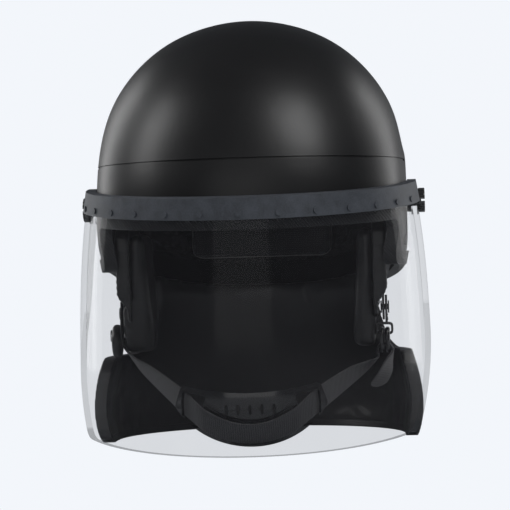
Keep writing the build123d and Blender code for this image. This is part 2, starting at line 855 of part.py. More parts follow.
for side, sign in sides:
    front_start, front_width = harness_start(sign, -1, 0)
    front_points = [
        *front_start,
        harness_point(sign, -rivet_y, harness_rim_height, -shell_wall - trim_wall),
        harness_point(sign, -rivet_y, harness_free_height, -shell_wall - 2 * trim_wall),
        Vector(sign * anchor_x, anchor_y, anchor_height + webbing_width / 2),
        Vector(sign * anchor_x, anchor_y, anchor_height - webbing_width / 2),
    ]
    front_across = [*front_width, *[along_y] * (len(front_points) - len(front_width))]

    with BuildPart() as harness_front:
        add(ribbon(front_points, front_across))
        with BuildSketch(Plane.YZ):
            with Locations((anchor_y, anchor_height)):
                Circle(anchor_rivet_diameter / 2 + face_gap)
        extrude(amount=reach, both=True, mode=Mode.SUBTRACT)
        with BuildSketch(dome_plane(sign, -rivet_y, harness_rivet_height)):
            Circle(harness_rivet_diameter / 2 + face_gap)
        extrude(amount=4 * shell_wall, both=True, mode=Mode.SUBTRACT)
    harness_front.part.label = f"harness_front_{side}"
    export_step(harness_front.part, f"parts/harness_front_{side}.step")

    rear_start, rear_width = harness_start(sign, 1, rear_lean)
    rear_points = [
        *rear_start,
        harness_point(sign, *rear_path(near_rim_share), -shell_wall - 3 * trim_wall),
        harness_point(sign, *rear_path(below_rim_share), -shell_wall - 4 * trim_wall),
        Vector(sign * inner_layer_x, harness_rear_end_y, harness_rear_end_height),
    ]
    slant = Vector(0, math.cos(rear_lean), -math.sin(rear_lean))
    rear_across = [*rear_width, slant, slant, slant]

    with BuildPart() as harness_rear:
        add(ribbon(rear_points, rear_across))
        with BuildSketch(dome_plane(sign, rivet_y, harness_rivet_height)):
            Circle(harness_rivet_diameter / 2 + face_gap)
        extrude(amount=4 * shell_wall, both=True, mode=Mode.SUBTRACT)
    harness_rear.part.label = f"harness_rear_{side}"
    export_step(harness_rear.part, f"parts/harness_rear_{side}.step")

harness_stack = shell_wall + strap_gap + webbing_thickness + soft_gap

with BuildPart() as harness_rivets:
    for plane in rivet_planes:
        with BuildSketch(plane.offset(pole_relief)):
            Circle(harness_head_diameter / 2)
        extrude(amount=harness_head_height)
        with BuildSketch(plane.offset(-harness_stack - harness_head_height)):
            Circle(harness_head_diameter / 2)
        extrude(amount=harness_head_height)
        with BuildSketch(plane.offset(-harness_stack)):
            Circle(harness_rivet_diameter / 2)
        extrude(amount=harness_stack + pole_relief)
harness_rivets.part.label = "harness_rivets"
export_step(harness_rivets.part, "parts/harness_rivets.step")

# Chin cup
cup_back_y = cup_axis_y - cup_wall


def spheroid(grow):
    """Solid of the chin cup's outer shape, grown by a distance."""
    span = cup_half_span + grow
    with BuildPart() as solid:
        with BuildSketch(Plane(origin=(0, cup_axis_y, cup_axis_height), x_dir=(1, 0, 0), z_dir=(0, -1, 0))):
            with BuildLine():
                EllipticalCenterArc((0, 0), span, cup_radius + grow, start_angle=0, arc_size=180)
                Line((-span, 0), (span, 0))
            make_face()
        revolve(axis=Axis((0, cup_axis_y, cup_axis_height), (1, 0, 0)))
    return solid.part


def cup_point(out, dip, grow):
    """Point of the cup's surface at a distance out along X and an angle below level."""
    turn = math.radians(dip)
    distance = (cup_radius + grow) * math.sqrt(1 - (out / (cup_half_span + grow)) ** 2)
    return Vector(out, cup_axis_y - distance * math.cos(turn), cup_axis_height - distance * math.sin(turn))


def webbing_dip(out):
    """Angle below level at which the webbing crosses the cup."""
    return dip_end + (dip_middle - dip_end) * (1 - (out / cup_end_x) ** 2)


def webbing_across(out):
    """Width direction of the webbing where it crosses the cup: down and back round the chin."""
    turn = math.radians(webbing_dip(out))
    return Vector(0, math.sin(turn), -math.cos(turn))


cup_outer = spheroid(0)
cup_hollow = spheroid(-cup_wall)
recess_floor = spheroid(-recess_depth)

with BuildPart() as recess_cut:
    with BuildSketch(Plane.XZ.offset(-cup_back_y)):
        with BuildLine():
            ends = ((-recess_half_width, recess_end_height), (recess_half_width, recess_end_height))
            ThreePointArc(ends[0], (0, recess_top_height), ends[1])
            ThreePointArc(ends[0], (0, recess_low_height), ends[1])
        make_face()
    extrude(amount=reach)
    add(recess_floor, mode=Mode.SUBTRACT)

with BuildPart() as chin_cup:
    with BuildSketch(Plane.XZ.offset(-cup_back_y)) as cup_outline:
        with BuildLine():
            corners = ((-cup_corner_x, cup_corner_height), (cup_corner_x, cup_corner_height))
            tips = ((-cup_end_x, cup_end_height), (cup_end_x, cup_end_height))
            ThreePointArc(corners[0], (0, cup_top_height), corners[1])
            Line(corners[1], tips[1])
            ThreePointArc(tips[1], (0, cup_low_height), tips[0])
            Line(tips[0], corners[0])
        make_face()
        fillet(cup_outline.vertices(), radius=cup_corner_radius)
    extrude(amount=reach)
    add(cup_outer, mode=Mode.INTERSECT)
    add(cup_hollow, mode=Mode.SUBTRACT)
    add(recess_cut.part, mode=Mode.SUBTRACT)
    with BuildSketch(Plane.XZ):
        with Locations((0, vent_height)):
            with GridLocations(vent_pitch, 0, vents, 1):
                SlotOverall(vent_length, vent_width, rotation=90)
    extrude(amount=reach, mode=Mode.SUBTRACT)
    for side, sign in sides:
        middle = cup_point(sign * (cup_slot_x + cup_wall / 2), webbing_dip(cup_slot_x), 0)
        beside = cup_point(sign * (cup_slot_x + cup_wall), webbing_dip(cup_slot_x), 0)
        along = (beside - middle).normalized()
        outward = along.cross(webbing_across(cup_slot_x)) * sign
        with BuildSketch(Plane(origin=middle, x_dir=along, z_dir=outward)):
            RectangleRounded(cup_slot_length + 2 * cup_wall, cup_slot_width, webbing_thickness)
        extrude(amount=3 * cup_wall, both=True, mode=Mode.SUBTRACT)
chin_cup.part.label = "chin_cup"
export_step(chin_cup.part, "parts/chin_cup.step")

# Chin strap: from the wearer's right anchor, through the cup's loops, to the D-rings at the left
over_cup = 2 * soft_gap + webbing_thickness / 2
through_cup = -cup_wall / 2
behind_cup = -cup_wall - over_cup - webbing_width**2 / (8 * (cup_radius - cup_wall))
slot_inner_x = cup_slot_x - cup_slot_length / 2
slot_outer_x = cup_slot_x + cup_slot_length / 2
crossing = (
    (slot_outer_x + over_cup, behind_cup),
    (cup_slot_x, through_cup),
    *[(slot_inner_x * (1 - count / cup_stations), over_cup) for count in range(cup_stations)],
)
right_crossing = [(-out, grow) for out, grow in crossing]
left_crossing = [(out, grow) for out, grow in reversed(crossing)]
cup_crossing = [*right_crossing, (0, over_cup), *left_crossing]
crossing_points = [cup_point(out, webbing_dip(out), grow) for out, grow in cup_crossing]
crossing_across = [webbing_across(out) for out, _ in cup_crossing]

ring_middle_x = moving_layer_x - ring_inset
loop_inner_top = anchor_height - loop_drop - webbing_thickness
ring_bar_height = loop_inner_top - soft_gap - ring_wire
ring_low_height = ring_bar_height - ring_inner_height - ring_wire
turn_radius = ring_pitch / 2 + ring_wire / 2 + over_cup + soft_gap
jaw_across = Vector(0, 0.62, -0.78)
bend_across = Vector(0, 0.92, -0.4)

right_run = [
    Vector(-moving_layer_x, anchor_y, anchor_height + webbing_width / 2),
    Vector(-moving_layer_x, anchor_y, anchor_height - tab_drop),
    Vector(-right_bend[0], right_bend[1], right_bend[2]),
    Vector(-right_jaw[0], right_jaw[1], right_jaw[2]),
]
left_run = [
    Vector(*left_jaw),
    Vector(*left_bend),
    Vector(ring_middle_x - turn_radius, anchor_y, ring_low_height - 3 * webbing_thickness),
    Vector(ring_middle_x - turn_radius, anchor_y, ring_low_height - webbing_thickness),
]
strap_points = [*right_run, *crossing_points, *left_run]
right_across = [along_y, along_y, bend_across, jaw_across]
strap_across = [*right_across, *crossing_across, *reversed(right_across)]
anchor_wall = Plane.YZ.offset(-moving_layer_x - webbing_thickness / 2)

with BuildPart() as chin_strap:
    add(ribbon(strap_points, strap_across))
    with BuildSketch(anchor_wall):
        with Locations((anchor_y, anchor_height)):
            Circle(anchor_rivet_diameter / 2 + running_clearance)
        with Locations((anchor_y, anchor_height - tab_drop + snap_rise)):
            Circle(snap_post_diameter / 2 + face_gap)
    extrude(amount=reach, both=True, mode=Mode.SUBTRACT)
chin_strap.part.label = "chin_strap"
export_step(chin_strap.part, "parts/chin_strap.step")

# Tail of the strap: it turns round both rings and hangs free
turn_points = []
for turn in (-90, -60, -30, 0, 30, 60, 90):
    swing = math.radians(turn)
    turn_points.append(
        Vector(
            ring_middle_x + turn_radius * math.sin(swing),
            anchor_y,
            ring_low_height + turn_radius * math.cos(swing),
        )
    )
tail_points = [
    Vector(ring_middle_x - turn_radius, anchor_y, ring_low_height - webbing_thickness + soft_gap),
    *turn_points,
    Vector(*tail_knee),
    Vector(*tail_middle),
    Vector(*tail_end),
]
tail_twist = [Vector(0.3, 0.9, 0), Vector(0.55, 0.8, 0), Vector(0.7, 0.7, 0)]
tail_across = [along_y] * (len(turn_points) + 1) + tail_twist

with BuildPart() as strap_tail:
    add(ribbon(tail_points, tail_across))
strap_tail.part.label = "strap_tail"
export_step(strap_tail.part, "parts/strap_tail.step")

# D-rings
for name, way in (("ring_inner", -1), ("ring_outer", 1)):
    ring_plane = Plane(
        origin=(ring_middle_x + way * ring_pitch / 2, anchor_y, ring_bar_height),
        x_dir=(0, 1, 0),
        z_dir=(1, 0, 0),
    )
    half_width = (ring_inner_width + ring_wire) / 2
    drop = ring_inner_height + ring_wire
    ring_points = ((-half_width, 0), (half_width, 0), (half_width, -drop), (-half_width, -drop))
    ring_radii = (ring_wire, ring_wire, ring_corner_radius, ring_corner_radius)

    with BuildPart() as ring:
        with BuildLine(ring_plane) as ring_path:
            FilletPolyline(*ring_points, radius=ring_radii, close=True)
        with BuildSketch(Plane(origin=ring_path.line @ 0, z_dir=ring_path.line % 0)):
            Circle(ring_wire / 2)
        sweep()
    ring.part.label = name
    export_step(ring.part, f"parts/{name}.step")

# Loop of webbing that carries the rings on the left anchor
loop_half = turn_radius + webbing_thickness / 2
loop_low = ring_bar_height - ring_wire / 2 - soft_gap - webbing_thickness
loop_top = loop_inner_top + webbing_thickness

with BuildPart() as ring_loop:
    with BuildSketch(Plane.XZ.offset(-anchor_y)):
        with Locations((ring_middle_x, (loop_top + loop_low) / 2)):
            RectangleRounded(2 * loop_half, loop_top - loop_low, 2 * webbing_thickness)
            RectangleRounded(
                2 * (loop_half - webbing_thickness),
                loop_top - loop_low - 2 * webbing_thickness,
                webbing_thickness,
                mode=Mode.SUBTRACT,
            )
    extrude(amount=loop_width / 2, both=True)
    with BuildSketch(Plane.YZ.offset(moving_layer_x - webbing_thickness / 2)):
        with Locations((anchor_y, (anchor_height + loop_top - 2 * webbing_thickness) / 2)):
            Rectangle(loop_width, anchor_height - loop_top + 2 * webbing_thickness)
        with Locations((anchor_y, anchor_height)):
            Circle(loop_width / 2)
            Circle(anchor_rivet_diameter / 2 + running_clearance, mode=Mode.SUBTRACT)
    extrude(amount=webbing_thickness)
ring_loop.part.label = "ring_loop"
export_step(ring_loop.part, "parts/ring_loop.step")

# Anchor rivets: they join the moving layer to the front harness straps
anchor_outer_x = moving_layer_x + webbing_thickness / 2 + soft_gap
anchor_inner_x = anchor_x - webbing_thickness / 2 - soft_gap

with BuildPart() as anchor_rivets:
    for side, sign in sides:
        for start, height, diameter in (
            (anchor_inner_x - anchor_head_height, anchor_head_height, anchor_head_diameter),
            (anchor_inner_x, anchor_outer_x - anchor_inner_x, anchor_rivet_diameter),
            (anchor_outer_x, anchor_head_height, anchor_head_diameter),
        ):
            with BuildSketch(Plane.YZ.offset(sign * start)):
                with Locations((anchor_y, anchor_height)):
                    Circle(diameter / 2)
            extrude(amount=sign * height)
anchor_rivets.part.label = "anchor_rivets"
export_step(anchor_rivets.part, "parts/anchor_rivets.step")

# Round tab and its snap, on the right run
tab_inner_x = anchor_outer_x
tab_outer_x = tab_inner_x + tab_thickness

with BuildPart() as strap_tab:
    with BuildSketch(Plane.YZ.offset(-tab_inner_x)):
        with Locations((anchor_y, anchor_height - tab_drop)):
            Circle(tab_diameter / 2)
    extrude(amount=-tab_thickness)
    fillet(strap_tab.edges().filter_by(GeomType.CIRCLE), radius=tab_edge_radius)
    with BuildSketch(Plane.YZ):
        with Locations((anchor_y, anchor_height - tab_drop + snap_rise)):
            Circle(snap_post_diameter / 2 + face_gap)
    extrude(amount=reach, both=True, mode=Mode.SUBTRACT)
strap_tab.part.label = "strap_tab"
export_step(strap_tab.part, "parts/strap_tab.step")

with BuildPart() as tab_snap:
    for start, height, diameter in (
        (moving_layer_x - webbing_thickness / 2 - soft_gap - snap_height, snap_height, snap_diameter),
        (
            moving_layer_x - webbing_thickness / 2 - soft_gap,
            tab_outer_x - moving_layer_x + snap_height,
            snap_post_diameter,
        ),
        (tab_outer_x + face_gap, snap_height, snap_diameter),
    ):
        with BuildSketch(Plane.YZ.offset(-start)):
            with Locations((anchor_y, anchor_height - tab_drop + snap_rise)):
                Circle(diameter / 2)
        extrude(amount=-height)
tab_snap.part.label = "tab_snap"
export_step(tab_snap.part, "parts/tab_snap.step")

# Neck guard: a padded curtain tucked inside the rear rim, with wings that come forward below the ears
guard_points = (
    (reach, nape_line(reach) + guard_tuck),
    (guard_side_y, nape_line(guard_side_y) + guard_tuck),
    (guard_throat_y, guard_knee),
    (guard_wing_front_y, guard_knee),
    (guard_wing_front_y, guard_low),
    (reach, guard_low),
)
guard_radii = (0, guard_side_radius, guard_throat_radius, guard_wing_radius, guard_low_radius, 0)


def guard_block(outset):
    """Solid filled by the neck guard's outer face, grown by a distance."""
    levels = (
        (guard_top, guard_top_half_width, guard_top_rear_y),
        (guard_neck_height, guard_top_half_width, guard_top_rear_y),
        (guard_knee, guard_knee_half_width, guard_knee_rear_y),
        (guard_low - binding_depth, guard_half_width, guard_rear_y),
    )
    shifted = [(height, half + outset, guard_centre_y, rear + outset) for height, half, rear in levels]
    return plan_loft(shifted, -overrun)


with BuildPart() as neck_guard:
    add(guard_block(0))
    add(guard_block(-guard_thickness), mode=Mode.SUBTRACT)
    add(side_prism(guard_points, guard_radii), mode=Mode.INTERSECT)
    for plane in snap_planes:
        with BuildSketch(plane):
            Circle(guard_snap_post / 2 + face_gap)
        extrude(amount=-guard_snap_length - soft_gap, mode=Mode.SUBTRACT)
neck_guard.part.label = "neck_guard"
export_step(neck_guard.part, "parts/neck_guard.step")

with BuildPart() as binding_groove:
    add(guard_block(face_gap))
    add(guard_block(-guard_thickness - face_gap), mode=Mode.SUBTRACT)
    add(side_prism(guard_points, guard_radii, face_gap), mode=Mode.INTERSECT)

with BuildPart() as binding_strip:
    add(side_prism(guard_points, guard_radii, binding_wall))
    add(side_prism(guard_points, guard_radii, -binding_depth), mode=Mode.SUBTRACT)
    with BuildSketch(Plane.XY.offset(binding_top)):
        Rectangle(2 * reach, 3 * reach)
    extrude(amount=reach, mode=Mode.SUBTRACT)

with BuildPart() as guard_binding:
    add(guard_block(binding_wall))
    add(guard_block(-guard_thickness - binding_wall), mode=Mode.SUBTRACT)
    add(binding_strip.part, mode=Mode.INTERSECT)
    add(binding_groove.part, mode=Mode.SUBTRACT)
guard_binding.part.label = "guard_binding"
export_step(guard_binding.part, "parts/guard_binding.step")

with BuildPart() as guard_snaps:
    for plane, seat in zip(snap_planes, snap_seats):
        with BuildSketch(seat.offset(soft_gap)):
            Circle(guard_snap_diameter / 2)
        extrude(amount=guard_snap_height)
        with BuildSketch(plane.offset(guard_snap_height / 2)):
            Circle(guard_snap_post / 2)
        extrude(amount=-guard_snap_length)
guard_snaps.part.label = "guard_snaps"
export_step(guard_snaps.part, "parts/guard_snaps.step")
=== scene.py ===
# %% [markdown]
# A protective helmet with a full face shield, dressed for a studio picture.
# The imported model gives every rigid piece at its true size. Blender adds what a CAD solid lacks:
# finishes, soft padding, woven straps and stitching. Everything is in metres, +Z up, front towards -Y.

import math

import bmesh
import bpy
import numpy as np
from mathutils import Matrix, Vector


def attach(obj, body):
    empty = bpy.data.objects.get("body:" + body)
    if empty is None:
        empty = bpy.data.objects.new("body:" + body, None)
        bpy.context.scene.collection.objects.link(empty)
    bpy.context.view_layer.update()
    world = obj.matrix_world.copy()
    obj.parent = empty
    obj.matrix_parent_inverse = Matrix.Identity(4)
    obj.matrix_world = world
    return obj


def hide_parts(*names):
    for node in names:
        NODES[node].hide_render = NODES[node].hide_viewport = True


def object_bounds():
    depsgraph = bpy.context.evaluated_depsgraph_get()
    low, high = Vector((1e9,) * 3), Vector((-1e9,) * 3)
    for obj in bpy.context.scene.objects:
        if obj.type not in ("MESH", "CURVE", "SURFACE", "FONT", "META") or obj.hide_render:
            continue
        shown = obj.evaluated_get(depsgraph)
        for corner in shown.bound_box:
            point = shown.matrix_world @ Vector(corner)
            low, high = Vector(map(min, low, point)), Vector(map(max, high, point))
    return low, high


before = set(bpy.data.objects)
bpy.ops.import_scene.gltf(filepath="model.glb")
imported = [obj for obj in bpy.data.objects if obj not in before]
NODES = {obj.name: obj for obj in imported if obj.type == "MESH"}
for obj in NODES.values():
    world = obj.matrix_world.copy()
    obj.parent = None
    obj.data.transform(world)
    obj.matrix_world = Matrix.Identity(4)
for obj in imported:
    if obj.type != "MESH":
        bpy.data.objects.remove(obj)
CAD_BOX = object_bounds()
MM = 0.001
SIDES = (("left", 1), ("right", -1))


def add_object(name, data):
    """New object in the scene around a mesh, a lamp or a camera."""
    made = bpy.data.objects.new(name, data)
    bpy.context.scene.collection.objects.link(made)
    return made


print("nodes", len(NODES), "box", [[round(value, 3) for value in corner] for corner in CAD_BOX])

# %% [markdown]
# The camera stands 1.5 m in front and looks level. The picture shows the helmet turned a few degrees
# and leaning a little to one side, so the camera is moved round by the turn and rolled by the lean.
# A long lens keeps the near rim of the shield from looking larger than the shell.

# %% Camera
TURN = math.radians(3.7)
LEAN = math.radians(-1.7)
DISTANCE = 1.5
LENS = 150.9
SENSOR = 36.0

camera_data = bpy.data.cameras.new("camera")
camera_data.lens = LENS
camera_data.sensor_width = SENSOR
camera = add_object("camera", camera_data)
place = Vector((DISTANCE * math.sin(TURN), -DISTANCE * math.cos(TURN), 0.0))
facing = (-place).to_track_quat("-Z", "Y").to_matrix().to_4x4()
camera.matrix_world = Matrix.Translation(place) @ facing @ Matrix.Rotation(LEAN, 4, "Z")
bpy.context.scene.camera = camera
bpy.context.scene.view_settings.view_transform = "Standard"
print("camera at", [round(value, 3) for value in place])

# %% [markdown]
# A shader is a small formula. Written as node links it is hard to read, so one class wraps a socket and
# lets Python's own operators add the Math nodes. One method makes any other node from its settings.

# %% Shader helpers
class Value:
    """A socket that can be used in sums: each operator adds one Math node."""

    def __init__(self, shader, socket):
        self.shader = shader
        self.socket = socket

    def math(self, operation, *others):
        """One Math node on this value and the others."""
        return self.shader.node("ShaderNodeMath", {"operation": operation}, (self, *others))

    def __add__(self, other):
        return self.math("ADD", other)

    def __mul__(self, other):
        return self.math("MULTIPLY", other)

    def __sub__(self, other):
        return self.math("SUBTRACT", other)

    def __rsub__(self, other):
        return self.shader.node("ShaderNodeMath", {"operation": "SUBTRACT"}, (other, self))

    def __pow__(self, other):
        return self.math("POWER", other)

    __radd__ = __add__
    __rmul__ = __mul__

    def clamp(self):
        """The value kept between 0 and 1."""
        return self.shader.node("ShaderNodeClamp", {}, (self,))


class Shader:
    """One material, built around a Principled shader."""

    def __init__(self, name, **fixed):
        self.material = bpy.data.materials.new(name)
        self.material.use_nodes = True
        self.tree = self.material.node_tree
        self.surface = self.tree.nodes["Principled BSDF"]
        for socket, value in fixed.items():
            self.surface.inputs[socket.replace("_", " ")].default_value = value

    def node(self, kind, settings, values, output=0):
        """New node: its settings first, then a value or a link for each socket; gives one output."""
        made = self.tree.nodes.new(kind)
        for key, value in settings.items():
            setattr(made, key, value)
        pairs = values.items() if isinstance(values, dict) else enumerate(values)
        for key, value in pairs:
            if isinstance(value, Value):
                self.tree.links.new(value.socket, made.inputs[key])
            else:
                made.inputs[key].default_value = value
        return Value(self, made.outputs[output])

    def place(self):
        """Object coordinates: they stay on the piece when it moves."""
        return self.node("ShaderNodeTexCoord", {}, (), "Object")

    def along(self):
        """The piece's own UV map, in metres along and across a strap."""
        return self.node("ShaderNodeTexCoord", {}, (), "UV")

    def noise(self, scale, detail, stretch=None):
        """Smooth random value from 0 to 1 with about scale lumps to a metre."""
        where = self.place()
        if stretch:
            where = self.node("ShaderNodeMapping", {}, {"Vector": where, "Scale": stretch})
        return self.node("ShaderNodeTexNoise", {}, {"Vector": where, "Scale": scale, "Detail": detail})

    def cells(self, scale):
        """Distance to the nearest of many scattered points: leather grain and foam beads."""
        return self.node("ShaderNodeTexVoronoi", {"feature": "F1"}, {"Vector": self.place(), "Scale": scale})

    def wave(self, direction, scale, where, **more):
        """Even bands from 0 to 1 along one direction, 0.314 / scale metres apart."""
        wanted = {"Vector": where, "Scale": scale, **more}
        return self.node("ShaderNodeTexWave", {"bands_direction": direction}, wanted, "Fac")

    def blend(self, factor, first, second):
        """Colour between two, by a factor from 0 to 1."""
        settings = {"data_type": "RGBA"}
        return self.node("ShaderNodeMix", settings, {0: factor, 6: (*first, 1.0), 7: (*second, 1.0)}, 2)

    def bump(self, height, distance, strength):
        """Relief from a height of 0 to 1, where 1 stands distance metres out."""
        wanted = {"Height": height, "Distance": distance, "Strength": strength}
        return self.node("ShaderNodeBump", {}, wanted)

    def set(self, **links):
        """Links values to the surface's sockets and gives the finished material."""
        for socket, value in links.items():
            self.tree.links.new(value.socket, self.surface.inputs[socket.replace("_", " ")])
        return self.material


# %% [markdown]
# The rigid finishes. A satin black shell is never one even grey: the paint has a faint orange peel, and
# handling leaves it slightly smoother and slightly duller in patches. Rubber is mottled and has a fine
# speckle where the moulding release has worn away; the edge trim's ribs get painted shade in their grooves
# and a painted highlight on their tops. Small bumps are in real millimetres.

# %% Shell, rubber and hard plastic
def satin_paint():
    """Colour and roughness drift slowly; the bump is orange peel about 2 mm across."""
    paint = Shader("satin_black_paint", Specular_IOR_Level=0.34)
    drift = paint.noise(14.0, 3.0)
    handled = paint.noise(60.0, 4.0)
    colour = paint.blend(drift, (0.0045, 0.0045, 0.005), (0.008, 0.008, 0.009))
    rough = 0.34 + drift * 0.06 + handled * 0.05
    peel = paint.bump(paint.noise(520.0, 2.0), 0.00006, 0.55)
    return paint.set(Base_Color=colour, Roughness=rough, Normal=peel)


def dark_rubber(name, low, high):
    """Mottled rubber: broad and fine noise together choose the colour."""
    rubber = Shader(name, Specular_IOR_Level=0.35)
    mottle = rubber.noise(110.0, 5.0) * 0.6 + rubber.noise(900.0, 3.0) * 0.4
    colour = rubber.blend(((mottle - 0.36) * 3.2).clamp(), low, high)
    skin = rubber.bump(rubber.noise(1500.0, 3.0), 0.00012, 0.8)
    return rubber.set(Base_Color=colour, Roughness=0.5 + mottle * 0.2, Normal=skin)


def hatched_rubber_painted_shade():
    """Edge trim: fine slanted ribs, 1.6 mm apart, pressed into the rubber; the colour follows the ribs, as
    painted shade in the grooves and a painted highlight on the tops.
    """
    rubber = Shader("trim_rubber_painted_shade", Specular_IOR_Level=0.4)
    slant = (0, math.radians(38), 0)
    across = rubber.node("ShaderNodeMapping", {}, {"Vector": rubber.place(), "Rotation": slant})
    ribs = rubber.wave("X", 190.0, across, Distortion=0.4, Detail=1.0)
    worn = rubber.noise(240.0, 4.0)
    # Painted shade and highlight: the colour is darker in the rib grooves and lighter on the rib tops, mixed
    # with random wear.
    colour = rubber.blend(ribs * 0.55 + worn * 0.45, (0.008, 0.008, 0.009), (0.035, 0.036, 0.04))
    relief = rubber.bump(ribs, 0.0002, 0.7)
    return rubber.set(Base_Color=colour, Roughness=0.42 + worn * 0.2, Normal=relief)


def gloss_plastic(name, colour, roughness):
    """Polished moulded plastic, with hairline scuffs in the roughness."""
    plastic = Shader(name, Specular_IOR_Level=0.55, Coat_Weight=0.5, Coat_Roughness=0.06)
    scuffs = plastic.noise(90.0, 6.0, stretch=(1.0, 1.0, 6.0))
    tone = plastic.blend(scuffs, colour, tuple(1.6 * part for part in colour))
    wave = plastic.bump(plastic.noise(70.0, 2.0), 0.0001, 0.4)
    return plastic.set(Base_Color=tone, Roughness=roughness + (scuffs - 0.5) * 0.12, Normal=wave)


def worn_metal(name, dark, bright, roughness, metallic):
    """Plated or painted metal, brighter where a patchy wear mask is high."""
    metal = Shader(name, Specular_IOR_Level=0.5)
    wear = ((metal.noise(420.0, 5.0) - 0.55) * 5.0).clamp()
    colour = metal.blend(wear, dark, bright)
    scratch = metal.bump(metal.noise(1800.0, 2.0, stretch=(1.0, 1.0, 0.2)), 0.00005, 0.5)
    rough = roughness + wear * 0.12
    return metal.set(Base_Color=colour, Roughness=rough, Metallic=metallic + wear * 0.1, Normal=scratch)


SHELL = satin_paint()
SEAL = dark_rubber("seal_rubber", (0.034, 0.038, 0.046), (0.06, 0.067, 0.08))
TRIM_PAINTED_SHADE = hatched_rubber_painted_shade()
KNOB = gloss_plastic("knob_plastic", (0.008, 0.008, 0.009), 0.2)
CUP = gloss_plastic("cup_plastic", (0.007, 0.007, 0.008), 0.13)
NYLON = gloss_plastic("washer_nylon", (0.014, 0.014, 0.015), 0.45)
STEEL = worn_metal("dull_steel", (0.16, 0.16, 0.17), (0.4, 0.4, 0.41), 0.34, 0.85)
DARK_METAL = worn_metal("dark_metal", (0.045, 0.047, 0.055), (0.12, 0.12, 0.13), 0.36, 0.5)
BRIGHT_METAL = worn_metal("bright_metal", (0.5, 0.5, 0.52), (0.8, 0.8, 0.82), 0.22, 0.85)
ENAMEL = gloss_plastic("ring_enamel", (0.009, 0.009, 0.01), 0.12)
print("hard finishes", len(bpy.data.materials))

# %% [markdown]
# The shield is 4 mm of clear polycarbonate. Real refraction would need many light bounces and would blur
# the pieces behind it, so the sheet is thin glass: mostly see-through, a little smoky, and stronger where
# the eye meets it at a grazing angle or looks into a cut edge, as real sheet is.

# %% Clear shield
def clear_sheet():
    """Alpha is 0.12 face on, up to 0.3 more at grazing angles and 0.4 more on edges facing up or down."""
    sheet = Shader("clear_shield", Specular_IOR_Level=0.35, Roughness=0.04)
    grazing = sheet.node("ShaderNodeLayerWeight", {}, {"Blend": 0.22}, "Facing")
    normal = sheet.node("ShaderNodeTexCoord", {}, (), "Normal")
    height = sheet.node("ShaderNodeSeparateXYZ", {}, (normal,), "Z")
    edge = ((height.math("ABSOLUTE") - 0.55) * 8.0).clamp()
    haze = sheet.noise(30.0, 4.0)
    alpha = 0.12 + haze * 0.02 + (grazing ** 3.0) * 0.3 + edge * 0.4
    colour = sheet.blend(edge, (0.045, 0.045, 0.05), (0.03, 0.035, 0.04))
    scuffs = sheet.bump(sheet.noise(40.0, 3.0, stretch=(1.0, 1.0, 0.25)), 0.00004, 0.2)
    return sheet.set(Base_Color=colour, Alpha=alpha.clamp(), Normal=scuffs)


SHIELD = clear_sheet()

# %% [markdown]
# Soft finishes. Leather is a net of small cells with creases between them. Knitted lining is two crossed
# waves. Webbing follows the strap, so its ribs read the strap's own UV map, which is kept in metres.

# %% Leather, knit, foam and webbing
def leather(name, dark, light, roughness, grain):
    """Grain is the distance to scattered points, grain to a metre, under a broad soft wrinkle."""
    hide = Shader(name, Specular_IOR_Level=0.5, Sheen_Weight=0.06, Sheen_Roughness=0.4)
    cells = hide.cells(grain)
    wrinkle = hide.noise(38.0, 3.0)
    colour = hide.blend(cells * 0.6 + wrinkle * 0.4, dark, light)
    relief = hide.bump(cells * 0.5 + hide.noise(240.0, 4.0) * 0.5, 0.00016, 0.55)
    return hide.set(Base_Color=colour, Roughness=roughness + wrinkle * 0.14, Normal=relief)


def knit():
    """Soft lining: rows of loops 1.5 mm apart along Z and 1.2 mm apart along X."""
    cloth = Shader("pad_knit", Specular_IOR_Level=0.2, Sheen_Weight=0.25, Sheen_Roughness=0.6)
    rows = cloth.wave("Z", 210.0, cloth.place())
    loops = cloth.wave("X", 260.0, cloth.place())
    weave = rows * 0.5 + loops * 0.5
    fluff = cloth.noise(700.0, 3.0)
    colour = cloth.blend(weave * 0.7 + fluff * 0.3, (0.008, 0.008, 0.009), (0.034, 0.034, 0.037))
    return cloth.set(Base_Color=colour, Roughness=0.8 + fluff * 0.15, Normal=cloth.bump(weave, 0.0003, 0.7))


def foam():
    """Dense impact foam: pressed beads about 4 mm across."""
    beads = Shader("liner_foam", Specular_IOR_Level=0.25)
    cells = beads.cells(260.0)
    colour = beads.blend(cells, (0.03, 0.03, 0.032), (0.012, 0.012, 0.013))
    relief = beads.bump(1.0 - cells, 0.0002, 0.7)
    return beads.set(Base_Color=colour, Roughness=0.72 + cells * 0.2, Normal=relief)


def webbing():
    """Woven strap: ribs across every 1.5 mm and warp lines along every 1.1 mm."""
    strap = Shader("strap_webbing", Specular_IOR_Level=0.35, Sheen_Weight=0.15, Sheen_Roughness=0.45)
    ribs = strap.wave("X", 210.0, strap.along())
    warp = strap.wave("Y", 290.0, strap.along())
    weave = ribs * 0.65 + warp * 0.35
    fuzz = strap.noise(1200.0, 3.0)
    colour = strap.blend(weave * 0.75 + fuzz * 0.25, (0.008, 0.008, 0.009), (0.085, 0.085, 0.092))
    return strap.set(Base_Color=colour, Roughness=0.55 + fuzz * 0.25, Normal=strap.bump(weave, 0.0003, 0.8))


def thread():
    """Waxed sewing thread: a fine mottle, 0.4 mm across, stands for its twist."""
    yarn = Shader("sewing_thread", Specular_IOR_Level=0.4)
    twist = yarn.noise(2400.0, 2.0)
    colour = yarn.blend(twist, (0.02, 0.02, 0.022), (0.07, 0.07, 0.075))
    return yarn.set(Base_Color=colour, Roughness=0.5 + twist * 0.2)


